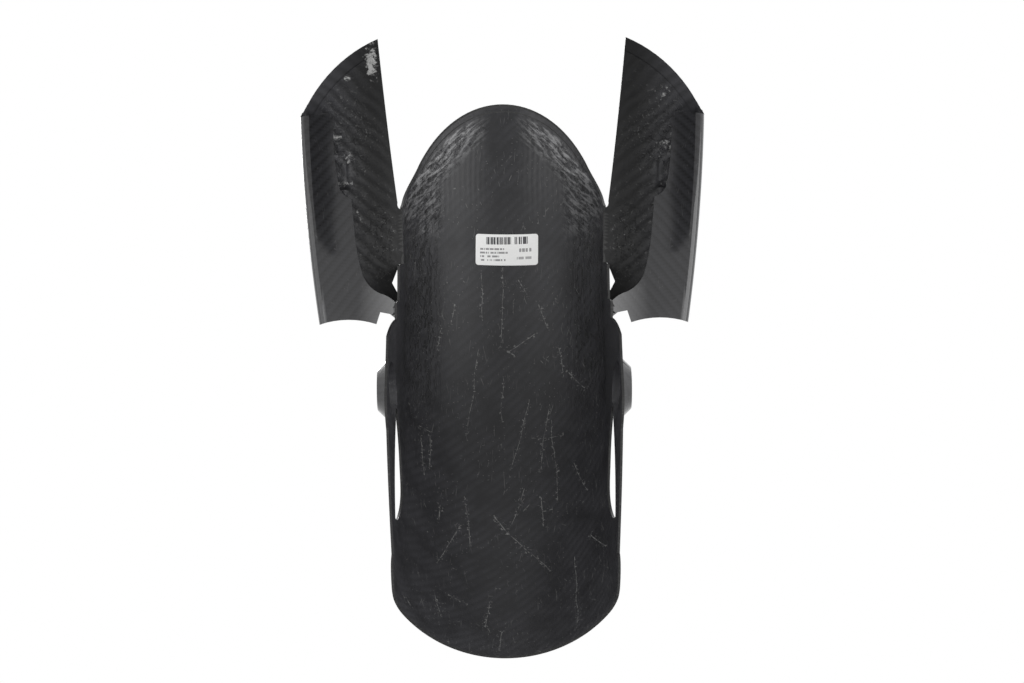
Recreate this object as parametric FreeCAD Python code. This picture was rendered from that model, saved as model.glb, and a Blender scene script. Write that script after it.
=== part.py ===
import FreeCAD, Part
import os
from math import sin, cos, tan, sqrt, hypot, radians

# Front mudguard of a road motorcycle: one carbon-fibre moulding with a paper label inside.
# It is drawn from the wheel axle: X across, Y to the rear, Z up the mould's draw line.
# At the end it is tipped to its place on the motorcycle, origin on the fork bolt line.

V = FreeCAD.Vector
ACROSS = V(1, 0, 0)

WALL = 1.5              # laminate
TYRE_R = 300.0          # 120/70-17 tyre
CROWN_GAP = 18.0        # tyre to the crown of the arch
CROWN_R = TYRE_R + CROWN_GAP
DRAW_TILT = 10.0        # draw line leans forward of upright

SECTION_R = 77.0        # round of the arch across the wheel
SECTION_ANGLE = 52.0
SHOULDER_R = 30.0       # tighter round into the side wall
SIDE_LEAN = 5.5
SIDE_DEPTH = 120.0      # from the crown, before the rim is trimmed
NOSE_ANGLE = 16.0       # revolved ahead of the draw line, before the nose is trimmed
TAIL_ANGLE = 69.2       # and behind it, to the tail's end
EDGE_REBATE = 0.5       # thinner band along the nose and the wings' leading edges
NOSE_BAND = 4.5
WING_BAND = 7.5

RIM_RADIUS = 250.0      # rim between the wing and the tab
TAB_RADIUS = 206.0
BOLT_BACK = 137.0       # fork bolt from the axle
BOLT_UP = 182.0
BOLT_HOLE_R = 3.25
PAD_FACE = 80.5
PAD_FACE_R = 13.5
PAD_ROOT_R = 24.0
PAD_WALL = 2.5
PAD_SUNK = 1.2          # the pad's cone starts inside the wall

WING_BACK = 45.0        # root of the wing: on the side wall, behind the axle and above it
WING_UP = 263.0
ROOT_OUT = 2.2          # root of the wing, out from the wall's inner face
WING_R = 206.0          # round of the wing from tip to rear, on its underside
WING_DROOP = 14.0       # outer side lower than the root
WING_TOE = 6.0          # front further out than the rear
FOLD_R = 6.0            # outside of the rounded fold
FOLD_REACH = 55.3       # centre of the fold from the root
FOLD_FLATS = 8          # the fold is turned in flats, close to its true round
RETURN_SPREAD = 12.0    # between the wing's two walls
SEAT_LENGTH = 26.0      # sunk reflector seat
SEAT_WIDTH = 18.0
SEAT_DEPTH = 4.0
SEAT_REACH = 39.0
SEAT_ANGLE = 16.0

LABEL_LENGTH = 43.5
LABEL_WIDTH = 22.0
LABEL_CORNER = 2.0
LABEL_THICK = 0.2
LABEL_GLUE = 0.3        # under the label's middle
LABEL_ANGLE = 7.8
LABEL_X = 2.5
LABEL_SKEW = 0.8


def side(ahead, up):
    """Point in the side view."""
    return V(0, -ahead, up)


def polar(angle, radius):
    """Point in the side view, by its angle behind the draw line."""
    return V(0, radius * sin(radians(angle)), radius * cos(radians(angle)))


def side_x(radius):
    """Half width inside the arch's side walls, at a radius from the axle."""
    a = radians(90 - SECTION_ANGLE)
    b = radians(SIDE_LEAN)
    bend_x = (SECTION_R - SHOULDER_R) * cos(a) + SHOULDER_R * cos(b)
    bend_z = CROWN_R - SECTION_R + (SECTION_R - SHOULDER_R) * sin(a) + SHOULDER_R * sin(b)
    return bend_x + (bend_z - radius) * tan(b)


def plan(out, ahead):
    """Point in the view down the draw line, by its distance out from the side wall."""
    return V(side_x(WING_UP) + out, -ahead, 0)


def line(a, b):
    return Part.makeLine(a, b)


def arc(a, b, c):
    return Part.Arc(a, b, c).toShape()


def curve(points):
    spline = Part.BSplineCurve()
    spline.interpolate(points)
    return spline.toShape()


def chain(points):
    """Straight edges from point to point."""
    return [line(p, q) for p, q in zip(points, points[1:])]


def face(edges):
    return Part.Face(Part.Wire(edges))


def side_prism(edges, half):
    flat = face(edges)
    flat.translate(V(-half, 0, 0))
    return flat.extrude(V(2 * half, 0, 0))


def plan_prism(edges):
    return face(edges).extrude(V(0, 0, 400))


def mirrored(shape):
    return shape.mirror(V(0, 0, 0), ACROSS)


def turned(flat, front, rear, back=0.0, up=0.0):
    """Revolve a section about a line across the wheel, from front to rear angle."""
    centre = V(0, back, up)
    blank = flat.copy()
    blank.rotate(centre, ACROSS, front)
    return blank.revolve(centre, V(-1, 0, 0), front + rear)


def section(offset):
    """Edges of the arch's section, and its two feet."""
    rise = CROWN_R - SECTION_R
    a = radians(90 - SECTION_ANGLE)
    b = radians(SIDE_LEAN)
    m = 0.5 * (a + b)
    big = SECTION_R + offset
    small = SHOULDER_R + offset
    cx = (SECTION_R - SHOULDER_R) * cos(a)
    cz = rise + (SECTION_R - SHOULDER_R) * sin(a)
    edges = []
    shoulders = []
    feet = []
    for sign in (1, -1):
        round_end = V(sign * big * cos(a), 0, rise + big * sin(a))
        bend_mid = V(sign * (cx + small * cos(m)), 0, cz + small * sin(m))
        bend_end = V(sign * (cx + small * cos(b)), 0, cz + small * sin(b))
        run = (SIDE_DEPTH - (CROWN_R - bend_end.z)) / cos(b)
        foot = bend_end + V(sign * sin(b), 0, -cos(b)) * run
        edges += [arc(round_end, bend_mid, bend_end), line(bend_end, foot)]
        shoulders.append(round_end)
        feet.append(foot)
    edges.append(arc(shoulders[0], V(0, 0, rise + big), shoulders[1]))
    return edges, feet


def arch_layer(low, high, rear):
    """Revolved layer of the arch between two offsets from its inner surface."""
    inner, inner_feet = section(low)
    outer, outer_feet = section(high)
    ends = [line(p, q) for p, q in zip(inner_feet, outer_feet)]
    return turned(face(Part.__sortEdges__(inner + outer + ends)), NOSE_ANGLE, rear)


def wheel_space():
    """Everything inside the arch's inner surface."""
    edges, feet = section(0.0)
    return turned(face(Part.__sortEdges__(edges + [line(*feet)])), 40.0, 85.0)


def nose_line(back):
    """Straight part of the nose's trim line, moved back along the mould."""
    return side(75.0 - back, 321.6), side(15.4 - back, 294.0)


def bridge(ahead):
    """Point in the middle of the wing's far wall where it meets the arch."""
    radius = WING_R + 0.5 * WALL
    rise = WING_UP - WING_R + 0.45
    return side(ahead, rise + sqrt(radius ** 2 - (ahead + WING_BACK) ** 2))


def arch_outline():
    """Side view of the arch: nose, bridge to the wing, rim, tab, lower band and tail."""
    nose_top, nose_mid = nose_line(0.0)
    nose_foot = bridge(-16.0)
    bridge_end = bridge(-54.0)
    rim_start = polar(13.0, RIM_RADIUS)
    rim_end = polar(18.5, RIM_RADIUS)
    spur_front = side(-81.0, 224.5)
    spur_rear = side(-92.0, 222.0)
    tab_front = polar(30.0, TAB_RADIUS)
    tab_rear = polar(42.0, TAB_RADIUS)
    band_start = polar(47.5, TAB_RADIUS + 13.0)
    tail_rim = polar(63.5, 263.5)
    tail_foot = polar(TAIL_ANGLE, 279.0)
    tail_top = polar(TAIL_ANGLE + 4.0, CROWN_R + 17.0)
    edges = [line(nose_top, nose_mid)]
    edges.append(arc(nose_mid, side(-4.0, 281.0), nose_foot))
    edges.append(arc(nose_foot, bridge(-30.0), bridge_end))
    edges.append(line(bridge_end, rim_start))
    edges.append(arc(rim_start, polar(15.7, RIM_RADIUS), rim_end))
    edges.append(line(rim_end, spur_front))
    edges.append(line(spur_front, spur_rear))
    edges.append(arc(spur_rear, side(-96.0, 199.0), tab_front))
    edges.append(arc(tab_front, polar(36.0, TAB_RADIUS), tab_rear))
    edges.append(arc(tab_rear, polar(45.2, TAB_RADIUS + 4.0), band_start))
    edges.append(line(band_start, tail_rim))
    edges.append(arc(tail_rim, polar(67.4, 267.5), tail_foot))
    edges.append(line(tail_foot, tail_top))
    edges.append(arc(tail_top, polar(30.0, CROWN_R + 17.0), nose_top))
    return side_prism(edges, 120.0)


def window():
    """Long opening in each side wall, above the lower band."""
    front = side(-148.0, 197.0)
    rear = side(-216.0, 145.0)
    top = arc(front, polar(41.5, 271.0), rear)
    foot = arc(rear, side(-186.0, 165.0), front)
    return side_prism([top, foot], 120.0)


def pad():
    """Raised fork pad, formed out of the side wall, and its hollow back."""
    base = V(side_x(hypot(BOLT_BACK, BOLT_UP)) - PAD_SUNK, BOLT_BACK, BOLT_UP)
    rise = PAD_FACE - base.x
    outside = Part.makeCone(PAD_ROOT_R, PAD_FACE_R, rise, base, ACROSS)
    under = V(base.x - PAD_WALL, BOLT_BACK, BOLT_UP)
    hollow = Part.makeCone(PAD_ROOT_R - WALL, PAD_FACE_R - WALL, rise, under, ACROSS)
    return outside, hollow


def hung(shape):
    """From the wing's own section to its place on the side of the arch."""
    root = V(side_x(WING_UP) + ROOT_OUT, WING_BACK, WING_UP)
    shape.translate(root - V(0, 0, WING_R))
    shape.rotate(root, V(0, 1, 0), WING_DROOP)
    shape.rotate(root, V(0, 0, 1), WING_TOE)
    return shape


def wing_strip():
    """Far wall, rounded fold and return wall in one turned laminate."""
    centre = V(FOLD_REACH, 0, WING_R + WALL - FOLD_R)
    sweep = radians(180.0 - RETURN_SPREAD)
    back = V(cos(sweep), 0, -sin(sweep))
    skins = []
    for r in (FOLD_R, FOLD_R - WALL):
        turns = [sweep * i / FOLD_FLATS for i in range(FOLD_FLATS + 1)]
        fold = [centre + V(r * sin(t), 0, r * cos(t)) for t in turns]
        root = V(-20.0, 0, fold[0].z)
        free = fold[-1] + back * 66.0
        skins.append([root] + fold + [free])
    loop = skins[0] + skins[1][::-1]
    return turned(face(chain(loop + loop[:1])), 62.0, 24.0)


def wing_ring(low, high):
    """Turned ring from the wing's root to its fold, between two radii."""
    corners = [V(-20.0, 0, low), V(FOLD_REACH, 0, low), V(FOLD_REACH, 0, high), V(-20.0, 0, high)]
    return turned(Part.Face(Part.makePolygon(corners + [corners[0]])), 62.0, 24.0)


def leading_points(back):
    """Tip, middle and outer end of the wing's leading edge, moved back by a band."""
    shift = V(-0.45 * back, 0.9 * back, 0)
    points = (plan(12.9, 90.5), plan(41.7, 72.1), plan(65.2, 39.5))
    return [p + shift for p in points]


def wing_outline():
    """Plan of the wing: notch, inner edge, tip, leading edge and rear edge."""
    tip, middle, corner = leading_points(0.0)
    notch_in = plan(-9.8, -17.5)
    notch_foot = plan(0.8, -17.5)
    notch_out = plan(3.2, -13.0)
    rear_in = plan(-9.8, -82.0)
    rear_mid = plan(12.2, -84.0)
    rear_out = plan(82.2, -97.0)
    side_out = plan(82.2, 39.5)
    loop = [line(notch_in, notch_foot), arc(notch_foot, plan(2.6, -16.2), notch_out)]
    loop.append(arc(notch_out, plan(7.9, 28.7), tip))
    loop.append(arc(tip, middle, corner))
    loop.append(line(corner, side_out))
    loop.append(line(side_out, rear_out))
    loop.append(line(rear_out, rear_mid))
    loop.append(line(rear_mid, rear_in))
    loop.append(line(rear_in, notch_in))
    return plan_prism(loop)


def nose_rebate():
    """Thin layer taken off the inside of the arch along the nose."""
    top, foot = nose_line(NOSE_BAND)
    ahead = side(150.0, foot.z)
    band = side_prism([line(top, foot), line(foot, ahead), line(ahead, top)], 120.0)
    return arch_layer(-1.0, EDGE_REBATE, 10.0).common(band)


def leading_rebate():
    """Thin layer taken off the underside of the wing along its leading edge."""
    tip, middle, corner = leading_points(WING_BAND)
    outside = plan(82.2, -corner.y)
    beyond = plan(82.2, 130.0)
    ahead = V(tip.x, -130.0, 0)
    loop = [arc(tip, middle, corner), line(corner, outside), line(outside, beyond)]
    loop += [line(beyond, ahead), line(ahead, tip)]
    layer = hung(wing_ring(WING_R - 2.0, WING_R + EDGE_REBATE))
    return layer.common(plan_prism(loop))


def return_outline():
    """Plan of the return wall: front end, free edge, step, spur, notch and rear end."""
    out = 82.2
    loop = [line(plan(out, 39.5), plan(50.2, 42.3))]
    loop.append(arc(plan(50.2, 42.3), plan(43.7, 41.5), plan(43.0, 34.0)))
    loop.append(curve([plan(43.0, 34.0), plan(42.6, 12.0), plan(40.8, -3.0)]))
    loop.append(arc(plan(40.8, -3.0), plan(37.7, -8.8), plan(32.6, -11.5)))
    loop.append(curve([plan(32.6, -11.5), plan(31.1, -30.4), plan(29.2, -46.8), plan(25.9, -61.3)]))
    loop.append(arc(plan(25.9, -61.3), plan(21.5, -69.0), plan(14.0, -74.5)))
    loop.append(arc(plan(14.0, -74.5), plan(4.8, -79.6), plan(-0.5, -87.4)))
    loop.append(arc(plan(-0.5, -87.4), plan(0.0, -90.6), plan(3.4, -91.4)))
    loop.append(line(plan(3.4, -91.4), plan(7.3, -88.3)))
    loop.append(line(plan(7.3, -88.3), plan(13.9, -87.0)))
    loop.append(line(plan(13.9, -87.0), plan(16.4, -94.9)))
    loop.append(arc(plan(16.4, -94.9), plan(35.3, -91.9), plan(54.2, -95.0)))
    loop.append(line(plan(54.2, -95.0), plan(out, -97.0)))
    loop.append(line(plan(out, -97.0), plan(out, 39.5)))
    return plan_prism(loop)


def bridge_hole():
    """Small three-cornered hole between the far wall and the arch's rim."""
    a = plan(-5.8, -54.5)
    b = plan(2.4, -54.5)
    c = plan(7.2, -67.0)
    d = plan(2.8, -75.2)
    e = plan(-5.8, -75.2)
    return plan_prism([line(a, b), line(b, c), line(c, d), line(d, e), line(e, a)])


def seat_block(margin, top, depth):
    """Tapered block across the far wall, at the sunk reflector seat."""
    loops = []
    for level, less in ((WING_R + top, 0.0), (WING_R - depth, 8.0)):
        x = 0.5 * (SEAT_WIDTH + margin - less)
        y = 0.5 * (SEAT_LENGTH + margin - less)
        corners = [V(-x, -y, level), V(x, -y, level), V(x, y, level), V(-x, y, level)]
        loops.append(Part.makePolygon(corners + [corners[0]]))
    block = Part.makeLoft(loops, True, True)
    block.translate(V(SEAT_REACH, 0, 0))
    block.rotate(V(0, 0, 0), ACROSS, SEAT_ANGLE)
    return block


def wing():
    """One fork wing: far wall with its sunk seat, rounded fold and return wall."""
    back = seat_block(3.0, 1.0, SEAT_DEPTH).common(wing_ring(WING_R - 30.0, WING_R + WALL))
    sunk = seat_block(0.0, 4.0, SEAT_DEPTH - WALL)
    skin = hung(wing_strip().fuse(back).cut(sunk))
    core = hung(Part.makeCylinder(WING_R + WALL - FOLD_R, 200.0, V(-60, 0, 0), ACROSS))
    room = Part.makeBox(200.0, 400.0, 400.0, V(20, -200, 0))
    far_waste = room.cut(wing_outline().cut(bridge_hole())).cut(core)
    near_waste = room.cut(return_outline()).common(core)
    return skin.cut(far_waste).cut(near_waste).cut(leading_rebate()).cut(wheel_space())


def shell():
    blank = arch_layer(0.0, WALL, TAIL_ANGLE)
    body = blank.common(arch_outline()).cut(window()).cut(nose_rebate())
    outside, hollow = pad()
    inside = wheel_space()
    for flip in (False, True):
        boss = mirrored(outside) if flip else outside
        sink = mirrored(hollow) if flip else hollow
        blade = mirrored(wing()) if flip else wing()
        body = body.fuse(boss.cut(inside)).cut(sink).fuse(blade)
    bolt = Part.makeCylinder(BOLT_HOLE_R, 240.0, V(-120, BOLT_BACK, BOLT_UP), ACROSS)
    return body.cut(bolt).removeSplitter()


def label():
    """Paper label, bent to the round of the crown and glued to its inner face."""
    rise = CROWN_R - SECTION_R
    reach = radians(30.0)
    top = SECTION_R - LABEL_GLUE
    ends = []
    for r in (top, top - LABEL_THICK):
        left = V(-r * sin(reach), 0, rise + r * cos(reach))
        right = V(r * sin(reach), 0, rise + r * cos(reach))
        ends.append((left, V(0, 0, rise + r), right))
    edges = [arc(*ends[0]), line(ends[0][2], ends[1][2])]
    edges.append(arc(ends[1][2], ends[1][1], ends[1][0]))
    edges.append(line(ends[1][0], ends[0][0]))
    bent = face(edges).extrude(V(0, 2 * LABEL_WIDTH, 0))
    bent.translate(V(0, -LABEL_WIDTH, 0))
    sheet = Part.makeBox(LABEL_LENGTH, LABEL_WIDTH, 60.0)
    sheet.translate(V(-0.5 * LABEL_LENGTH, -0.5 * LABEL_WIDTH, CROWN_R - 30.0))
    upright = [e for e in sheet.Edges if abs(e.BoundBox.ZLength - 60.0) < 0.01]
    sheet = sheet.makeFillet(LABEL_CORNER, upright)
    sheet.rotate(V(0, 0, 0), V(0, 0, 1), LABEL_SKEW)
    sheet.translate(V(LABEL_X, 0, 0))
    stuck = bent.common(sheet)
    stuck.rotate(V(0, 0, 0), ACROSS, -LABEL_ANGLE)
    return stuck


def placed(shape):
    """From the mould to the motorcycle: bolt line to the origin, then tipped forward."""
    moved = shape.copy()
    moved.translate(V(0, -BOLT_BACK, -BOLT_UP))
    moved.rotate(V(0, 0, 0), ACROSS, DRAW_TILT)
    return moved


os.makedirs("parts", exist_ok=True)
placed(shell()).exportStep("parts/mudguard_shell.step")
placed(label()).exportStep("parts/label.step")
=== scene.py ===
import math
import random

import bpy
import numpy as np
from mathutils import Matrix, Vector, kdtree


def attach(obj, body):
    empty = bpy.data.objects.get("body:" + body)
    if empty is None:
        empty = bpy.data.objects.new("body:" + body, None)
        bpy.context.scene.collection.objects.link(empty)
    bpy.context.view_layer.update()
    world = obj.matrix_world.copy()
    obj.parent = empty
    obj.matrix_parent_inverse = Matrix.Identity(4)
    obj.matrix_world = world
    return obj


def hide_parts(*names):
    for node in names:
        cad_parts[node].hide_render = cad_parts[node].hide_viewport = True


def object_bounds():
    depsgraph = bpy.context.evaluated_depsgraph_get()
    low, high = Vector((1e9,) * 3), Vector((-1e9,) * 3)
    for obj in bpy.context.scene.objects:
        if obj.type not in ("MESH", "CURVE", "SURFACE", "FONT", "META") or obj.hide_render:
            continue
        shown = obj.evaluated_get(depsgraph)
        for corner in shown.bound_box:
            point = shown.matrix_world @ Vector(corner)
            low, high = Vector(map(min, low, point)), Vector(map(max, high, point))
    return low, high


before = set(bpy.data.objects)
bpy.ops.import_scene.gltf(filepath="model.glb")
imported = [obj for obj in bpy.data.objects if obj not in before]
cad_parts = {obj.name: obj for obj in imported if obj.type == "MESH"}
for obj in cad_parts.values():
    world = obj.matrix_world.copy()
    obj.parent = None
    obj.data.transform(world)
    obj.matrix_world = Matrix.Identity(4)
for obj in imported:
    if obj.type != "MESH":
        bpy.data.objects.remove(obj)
cad_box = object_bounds()
scene = bpy.context.scene
scene.view_settings.view_transform = "Standard"

# The laminate shell: one carbon-fibre moulding, arch and folded fork wings together.
# Its outside took the gloss of the mould, its wheel side was pressed by a vacuum bag and is rough.
# Here the plain moulding is divided finely enough to carry the bag's creases and its true rounds.
MM = 0.001
BOLT_BACK = 137.0
BOLT_UP = 182.0
DRAW_TILT = math.radians(10.0)
CROWN_R = 318.0
SECTION_R = 77.0
SHOULDER_R = 30.0
SECTION_ANGLE = math.radians(52.0)
SIDE_LEAN = math.radians(5.5)
LAMINATE = 1.5
WING_ROOT = np.array([70.04, 45.0, 263.0])
WING_R = 206.0
WING_DROOP = math.radians(14.0)
WING_TOE = math.radians(6.0)
FOLD_R = 6.0
FOLD_REACH = 55.3
FOLD_SWEEP = math.radians(168.0)
PAD_REACH = 24.0
PAD_OUT = 82.0
SEAT_MIDDLE = -13.0
SEAT_HALF = 23.0
SEAT_OUT = 96.0
SKIN_NEAR = 0.22
BAG_NEAR = 0.25
RIBS_BACK_TO = 40.0
RIBS_OUT_TO = 84.0
WALL_MARGIN = 0.6
FAR_WALL_SWING = 0.2
LONGEST_EDGE = 4.5 * MM
RIB_EDGE = 1.9 * MM
DIVIDE_PASSES = 7
RISE = CROWN_R - SECTION_R
SHOULDER_X = (SECTION_R - SHOULDER_R) * math.sin(SECTION_ANGLE)
SHOULDER_Z = (SECTION_R - SHOULDER_R) * math.cos(SECTION_ANGLE)
BEND_X = SHOULDER_X + SHOULDER_R * math.cos(SIDE_LEAN)
BEND_Z = SHOULDER_Z + SHOULDER_R * math.sin(SIDE_LEAN)


def to_mould(points):
    """From the motorcycle's frame in metres to the mould's in millimetres, axle at the origin."""
    y = points[:, 1] / MM
    z = points[:, 2] / MM
    back = BOLT_BACK + y * math.cos(DRAW_TILT) + z * math.sin(DRAW_TILT)
    up = BOLT_UP - y * math.sin(DRAW_TILT) + z * math.cos(DRAW_TILT)
    return np.stack([points[:, 0] / MM, back, up], axis=1)


def from_mould(points):
    """Back from the mould's frame to the motorcycle's."""
    y = points[:, 1] - BOLT_BACK
    z = points[:, 2] - BOLT_UP
    back = y * math.cos(DRAW_TILT) - z * math.sin(DRAW_TILT)
    up = y * math.sin(DRAW_TILT) + z * math.cos(DRAW_TILT)
    return np.stack([points[:, 0], back, up], axis=1) * MM


def arch_place(points):
    """Across and along the arch in millimetres, offset from its inner skin, and the skin's normal."""
    side = np.where(points[:, 0] < 0, -1.0, 1.0)
    x = np.abs(points[:, 0])
    radius = np.hypot(points[:, 1], points[:, 2])
    turn = np.arctan2(points[:, 1], points[:, 2])
    h = radius - RISE
    crown = np.arctan2(x, h)
    bend = np.arctan2(x - SHOULDER_X, h - SHOULDER_Z)
    last = math.pi / 2 - SIDE_LEAN
    crown_off = np.hypot(x, h) - SECTION_R
    bend_off = np.hypot(x - SHOULDER_X, h - SHOULDER_Z) - SHOULDER_R
    dx = x - BEND_X
    dh = h - BEND_Z
    wall_off = dx * math.cos(SIDE_LEAN) + dh * math.sin(SIDE_LEAN)
    bend_start = SECTION_R * SECTION_ANGLE
    bend_end = bend_start + SHOULDER_R * (last - SECTION_ANGLE)
    on_crown = crown <= SECTION_ANGLE
    on_bend = ~on_crown & (bend <= last)
    angle = np.where(on_crown, crown, np.where(on_bend, bend, last))
    off = np.where(on_crown, crown_off, np.where(on_bend, bend_off, wall_off))
    wall_run = bend_end + dx * math.sin(SIDE_LEAN) - dh * math.cos(SIDE_LEAN)
    bend_run = bend_start + SHOULDER_R * (bend - SECTION_ANGLE)
    across = np.where(on_crown, SECTION_R * crown, np.where(on_bend, bend_run, wall_run))
    nx = np.sin(angle) * side
    nr = np.cos(angle)
    normal = np.stack([nx, nr * np.sin(turn), nr * np.cos(turn)], axis=1)
    return across * side, turn * CROWN_R, off, normal


def wing_place(points):
    """The same for the wing's turned strip: far wall, fold and return wall."""
    side = np.where(points[:, 0] < 0, -1.0, 1.0)
    q = points * np.stack([side, np.ones_like(side), np.ones_like(side)], axis=1) - WING_ROOT
    ct, st = math.cos(WING_TOE), math.sin(WING_TOE)
    cd, sd = math.cos(WING_DROOP), math.sin(WING_DROOP)
    x1 = q[:, 0] * ct + q[:, 1] * st
    y1 = -q[:, 0] * st + q[:, 1] * ct
    x2 = x1 * cd - q[:, 2] * sd
    z2 = x1 * sd + q[:, 2] * cd + WING_R
    radius = np.hypot(y1, z2)
    turn = np.arctan2(y1, z2)
    dx = x2 - FOLD_REACH
    dr = radius - (WING_R + LAMINATE - FOLD_R)
    swing = np.where(dx > 0, np.arctan2(dx, dr), np.where(dr > 0, 0.0, FOLD_SWEEP))
    swing = np.clip(swing, 0.0, FOLD_SWEEP)
    rounded = (dx > 0) & (swing < FOLD_SWEEP)
    nx = np.sin(swing)
    nr = np.cos(swing)
    off = np.where(rounded, np.hypot(dx, dr), dx * nx + dr * nr) - (FOLD_R - LAMINATE)
    along_wall = np.where(swing > 0.5, dx * math.cos(FOLD_SWEEP) - dr * math.sin(FOLD_SWEEP), dx)
    across = FOLD_REACH + FOLD_R * swing + np.where(rounded, 0.0, along_wall)
    ny1 = nr * np.sin(turn)
    nz2 = nr * np.cos(turn)
    nx1 = nx * cd + nz2 * sd
    nz = -nx * sd + nz2 * cd
    normal = np.stack([(nx1 * ct - ny1 * st) * side, nx1 * st + ny1 * ct, nz], axis=1)
    return across * side, turn * WING_R, off, normal, swing


bpy.ops.object.select_all(action="DESELECT")
shell = bpy.data.objects.new("laminate_shell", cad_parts["mudguard_shell"].data.copy())
scene.collection.objects.link(shell)
bpy.context.view_layer.objects.active = shell
shell.select_set(True)
bpy.ops.object.mode_set(mode="EDIT")
bpy.ops.mesh.select_mode(type="EDGE")
bpy.ops.mesh.select_all(action="SELECT")
bpy.ops.mesh.remove_doubles(threshold=2e-6)
bpy.ops.mesh.customdata_custom_splitnormals_clear()
for divide in range(DIVIDE_PASSES):
    bpy.ops.mesh.select_all(action="DESELECT")
    bpy.ops.object.mode_set(mode="OBJECT")
    mesh = shell.data
    points = np.empty(len(mesh.vertices) * 3)
    mesh.vertices.foreach_get("co", points)
    points = points.reshape(-1, 3)
    ends = np.empty(len(mesh.edges) * 2, int)
    mesh.edges.foreach_get("vertices", ends)
    ends = ends.reshape(-1, 2)
    middle = to_mould((points[ends[:, 0]] + points[ends[:, 1]]) / 2)
    middle_u, middle_v, middle_off = arch_place(middle)[:3]
    middle_swing = wing_place(middle)[4]
    ribbed = (np.abs(middle_off) < 0.3) & (middle_v < RIBS_BACK_TO) & (np.abs(middle_u) < RIBS_OUT_TO)
    folded = (middle_off > 3.0) & (middle_swing > 0.0) & (middle_swing < FOLD_SWEEP)
    seated = (middle_off > 3.0) & (middle_swing < FAR_WALL_SWING)
    seated &= (np.abs(middle[:, 1] - SEAT_MIDDLE) < SEAT_HALF) & (np.abs(middle[:, 0]) > SEAT_OUT)
    allowed = np.where(ribbed | folded | seated, RIB_EDGE, LONGEST_EDGE)
    long_edges = np.linalg.norm(points[ends[:, 0]] - points[ends[:, 1]], axis=1) > allowed
    mesh.edges.foreach_set("select", long_edges)
    bpy.ops.object.mode_set(mode="EDIT")
    if not long_edges.any():
        break
    bpy.ops.mesh.subdivide(number_cuts=1)
    bpy.ops.mesh.select_all(action="SELECT")
    bpy.ops.mesh.quads_convert_to_tris(quad_method="SHORTEST_DIAGONAL")
bpy.ops.object.mode_set(mode="OBJECT")

mesh = shell.data
count = len(mesh.vertices)
points = np.empty(count * 3)
mesh.vertices.foreach_get("co", points)
mould = to_mould(points.reshape(-1, 3))
arch_u, arch_v, arch_off, arch_normal = arch_place(mould)
wing_u, wing_v, wing_off, wing_normal, wing_swing = wing_place(mould)
pad_near = np.hypot(mould[:, 1] - BOLT_BACK, mould[:, 2] - BOLT_UP) < PAD_REACH
on_wing = (arch_off > LAMINATE + WALL_MARGIN) & ~(pad_near & (np.abs(mould[:, 0]) < PAD_OUT))

# The divided faces go back on the moulding's true rounds.
for off, normal, chosen in ((arch_off, arch_normal, ~on_wing), (wing_off, wing_normal, on_wing)):
    for level in (0.0, LAMINATE):
        near = chosen & (np.abs(off - level) < SKIN_NEAR)
        mould[near] += normal[near] * (level - off[near])[:, None]

# The sunk reflector seat is pressed with soft edges, so its block is eased round.
SEAT_EASING = 10
SEAT_HOLD = 0.4
mesh.vertices.foreach_set("co", from_mould(mould).ravel())
ends = np.empty(len(mesh.edges) * 2, int)
mesh.edges.foreach_get("vertices", ends)
ends = ends.reshape(-1, 2)
seated = on_wing & (wing_swing < FAR_WALL_SWING)
seated &= np.abs(mould[:, 1] - SEAT_MIDDLE) < SEAT_HALF - 1.0
seated &= np.abs(mould[:, 0]) > SEAT_OUT + 1.0
amount = np.bincount(ends.ravel(), minlength=count)[:, None]
for turn in range(SEAT_EASING):
    total = np.zeros_like(mould)
    np.add.at(total, ends[:, 0], mould[ends[:, 1]])
    np.add.at(total, ends[:, 1], mould[ends[:, 0]])
    mould[seated] = SEAT_HOLD * mould[seated] + (1.0 - SEAT_HOLD) * (total / amount)[seated]

# Faces are told apart by how they lie to the moulding's skin: mould side, bag side or trimmed edge.
faces = len(mesh.polygons)
centre = np.empty(faces * 3)
mesh.polygons.foreach_get("center", centre)
centre = to_mould(centre.reshape(-1, 3))
facing = np.empty(faces * 3)
mesh.polygons.foreach_get("normal", facing)
facing = facing.reshape(-1, 3)
tilt_cos, tilt_sin = math.cos(DRAW_TILT), math.sin(DRAW_TILT)
facing = np.stack([facing[:, 0], facing[:, 1] * tilt_cos + facing[:, 2] * tilt_sin,
                   facing[:, 2] * tilt_cos - facing[:, 1] * tilt_sin], axis=1)
face_arch = arch_place(centre)
face_wing = wing_place(centre)
face_pad = np.hypot(centre[:, 1] - BOLT_BACK, centre[:, 2] - BOLT_UP) < PAD_REACH
face_on_wing = (face_arch[2] > LAMINATE + WALL_MARGIN) & ~(face_pad & (np.abs(centre[:, 0]) < PAD_OUT))
wing_lie = np.abs(np.einsum("ij,ij->i", facing, face_wing[3]))
arch_lie = np.abs(np.einsum("ij,ij->i", facing, face_arch[3]))
face_on_wing |= (face_arch[2] > LAMINATE - 0.2) & (wing_lie > 0.85) & (arch_lie < 0.5) & ~face_pad
skin = np.where(face_on_wing[:, None], face_wing[3], face_arch[3])
lie = np.einsum("ij,ij->i", facing, skin)
MOULD_SIDE, BAG_SIDE, CUT_EDGE = 0, 1, 2
kind = np.where(lie < np.where(face_pad, -0.5, -0.85), BAG_SIDE, CUT_EDGE)
kind = np.where(lie > 0.5, MOULD_SIDE, kind)
pressed = face_on_wing & (face_wing[4] < FAR_WALL_SWING)
pressed &= (np.abs(centre[:, 1] - SEAT_MIDDLE) < SEAT_HALF + 1.0) & (np.abs(centre[:, 0]) > SEAT_OUT)
kind = np.where(pressed & (kind == CUT_EDGE), np.where(lie > 0.0, MOULD_SIDE, BAG_SIDE), kind)
face_off = np.where(face_on_wing, face_wing[2], face_arch[2])
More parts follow.
